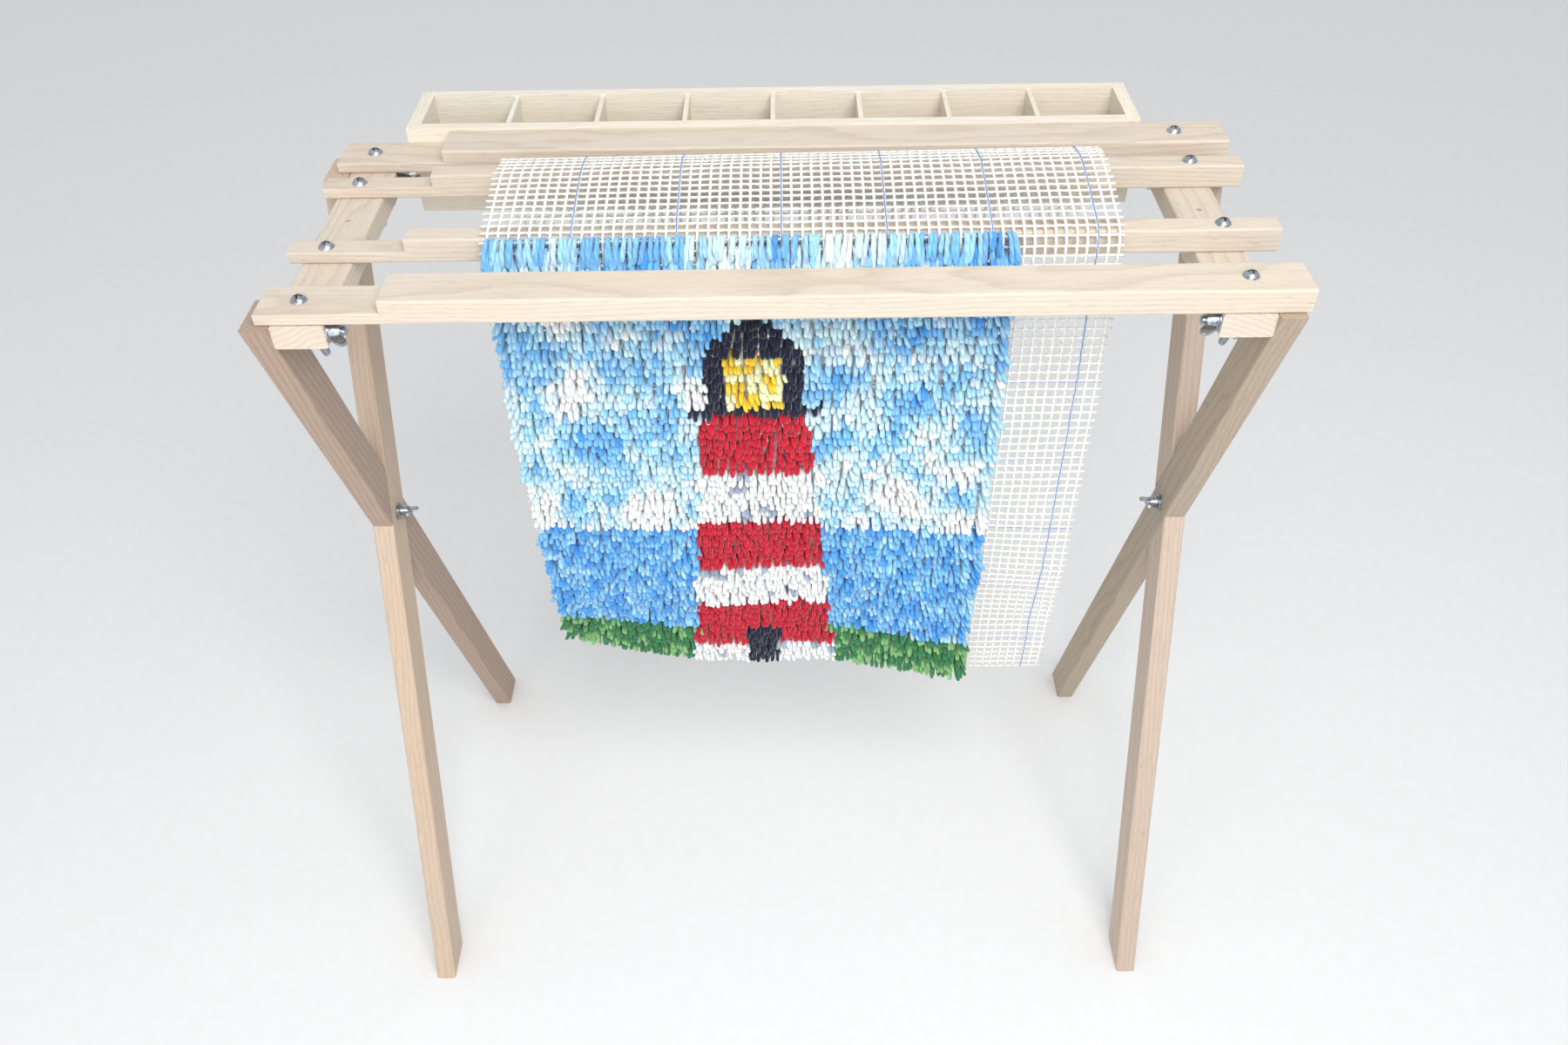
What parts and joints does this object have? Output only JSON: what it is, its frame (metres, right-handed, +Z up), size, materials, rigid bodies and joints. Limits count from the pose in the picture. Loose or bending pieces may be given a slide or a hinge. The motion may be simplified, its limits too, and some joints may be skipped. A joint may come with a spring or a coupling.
{
  "type": "rug canvas floor stand with tray",
  "caption": "Wooden floor stand with crossed legs and flat cross rails that hold a draped rug canvas, with a divided tray hung behind.",
  "frame": {"origin": "on the floor, under the middle of the stand's overall width and depth", "axes": "+X to the right along the cross rails, +Y from the front rail to the tray, +Z up"},
  "size_m": [0.7476, 0.4208, 0.8002],
  "materials": {
    "rail_wood": "sanded pale softwood, unfinished",
    "leg_wood": "sanded pale softwood, slightly darker grain, unfinished",
    "tray_wood": "thin pale board, unfinished",
    "zinc": "bright zinc plate",
    "canvas": "stiffened white cotton mesh with blue guide threads",
    "pile": "cut rug yarn, many colours"
  },
  "bodies": {
    "stand": {"left_side_rail": "rail_wood", "right_side_rail": "rail_wood", "front_rail": "rail_wood", "work_rail": "rail_wood", "canvas_rail": "rail_wood", "back_rail": "rail_wood", "left_leg_rear_foot": "leg_wood", "left_leg_front_foot": "leg_wood", "right_leg_rear_foot": "leg_wood", "right_leg_front_foot": "leg_wood", "tray_left_end": "tray_wood", "tray_right_end": "tray_wood", "tray_front_board": "tray_wood", "tray_back_board": "tray_wood", "tray_floor": "tray_wood", "tray_divider_1": "tray_wood", "tray_divider_2": "tray_wood", "tray_divider_3": "tray_wood", "tray_divider_4": "tray_wood", "tray_divider_5": "tray_wood", "tray_divider_6": "tray_wood", "tray_divider_7": "tray_wood", "left_rail_screws": "zinc", "right_rail_screws": "zinc", "rail_washers": "zinc", "leg_top_screws": "zinc", "leg_top_washers": "zinc", "crossing_screws": "zinc", "crossing_washers": "zinc", "tray_screws": "zinc", "tray_brads": "zinc", "rug_canvas": "canvas", "rug_pile": "pile"},
    "left_front_rail_wing_nut": {"left_front_rail_wing_nut": "zinc"},
    "left_work_rail_wing_nut": {"left_work_rail_wing_nut": "zinc"},
    "left_canvas_rail_wing_nut": {"left_canvas_rail_wing_nut": "zinc"},
    "left_back_rail_wing_nut": {"left_back_rail_wing_nut": "zinc"},
    "right_front_rail_wing_nut": {"right_front_rail_wing_nut": "zinc"},
    "right_work_rail_wing_nut": {"right_work_rail_wing_nut": "zinc"},
    "right_canvas_rail_wing_nut": {"right_canvas_rail_wing_nut": "zinc"},
    "right_back_rail_wing_nut": {"right_back_rail_wing_nut": "zinc"},
    "left_leg_front_wing_nut": {"left_leg_front_wing_nut": "zinc"},
    "left_leg_back_wing_nut": {"left_leg_back_wing_nut": "zinc"},
    "left_crossing_wing_nut": {"left_crossing_wing_nut": "zinc"},
    "right_leg_front_wing_nut": {"right_leg_front_wing_nut": "zinc"},
    "right_leg_back_wing_nut": {"right_leg_back_wing_nut": "zinc"},
    "right_crossing_wing_nut": {"right_crossing_wing_nut": "zinc"}
  },
  "joints": [
    {"name": "left_front_rail_nut_turn", "type": "hinge", "parent": "stand", "child": "left_front_rail_wing_nut", "pos_m": [-0.3315, -0.1085, 0.747], "axis": [0, 0, -1], "continuous": true},
    {"name": "left_work_rail_nut_turn", "type": "hinge", "parent": "stand", "child": "left_work_rail_wing_nut", "pos_m": [-0.3315, -0.0355, 0.747], "axis": [0, 0, -1], "continuous": true},
    {"name": "left_canvas_rail_nut_turn", "type": "hinge", "parent": "stand", "child": "left_canvas_rail_wing_nut", "pos_m": [-0.3315, 0.0645, 0.747], "axis": [0, 0, -1], "continuous": true},
    {"name": "left_back_rail_nut_turn", "type": "hinge", "parent": "stand", "child": "left_back_rail_wing_nut", "pos_m": [-0.3315, 0.1175, 0.747], "axis": [0, 0, -1], "continuous": true},
    {"name": "right_front_rail_nut_turn", "type": "hinge", "parent": "stand", "child": "right_front_rail_wing_nut", "pos_m": [0.3315, -0.1085, 0.747], "axis": [0, 0, -1], "continuous": true},
    {"name": "right_work_rail_nut_turn", "type": "hinge", "parent": "stand", "child": "right_work_rail_wing_nut", "pos_m": [0.3315, -0.0355, 0.747], "axis": [0, 0, -1], "continuous": true},
    {"name": "right_canvas_rail_nut_turn", "type": "hinge", "parent": "stand", "child": "right_canvas_rail_wing_nut", "pos_m": [0.3315, 0.0645, 0.747], "axis": [0, 0, -1], "continuous": true},
    {"name": "right_back_rail_nut_turn", "type": "hinge", "parent": "stand", "child": "right_back_rail_wing_nut", "pos_m": [0.3315, 0.1175, 0.747], "axis": [0, 0, -1], "continuous": true},
    {"name": "left_leg_front_nut_turn", "type": "hinge", "parent": "stand", "child": "left_leg_front_wing_nut", "pos_m": [-0.3125, -0.1195, 0.7565], "axis": [1, 0, 0], "range_deg": [-45, 21]},
    {"name": "left_leg_back_nut_turn", "type": "hinge", "parent": "stand", "child": "left_leg_back_wing_nut", "pos_m": [-0.3125, 0.10292, 0.7565], "axis": [1, 0, 0], "range_deg": [-24, 42]},
    {"name": "left_crossing_nut_turn", "type": "hinge", "parent": "stand", "child": "left_crossing_wing_nut", "pos_m": [-0.3505, -0.0034, 0.48182], "axis": [1, 0, 0], "continuous": true},
    {"name": "right_leg_front_nut_turn", "type": "hinge", "parent": "stand", "child": "right_leg_front_wing_nut", "pos_m": [0.3125, -0.1195, 0.7565], "axis": [-1, 0, 0], "range_deg": [-21, 45]},
    {"name": "right_leg_back_nut_turn", "type": "hinge", "parent": "stand", "child": "right_leg_back_wing_nut", "pos_m": [0.3125, 0.10292, 0.7565], "axis": [-1, 0, 0], "range_deg": [-39, 27]},
    {"name": "right_crossing_nut_turn", "type": "hinge", "parent": "stand", "child": "right_crossing_wing_nut", "pos_m": [0.3505, -0.0034, 0.48182], "axis": [-1, 0, 0], "continuous": true}
  ]
}
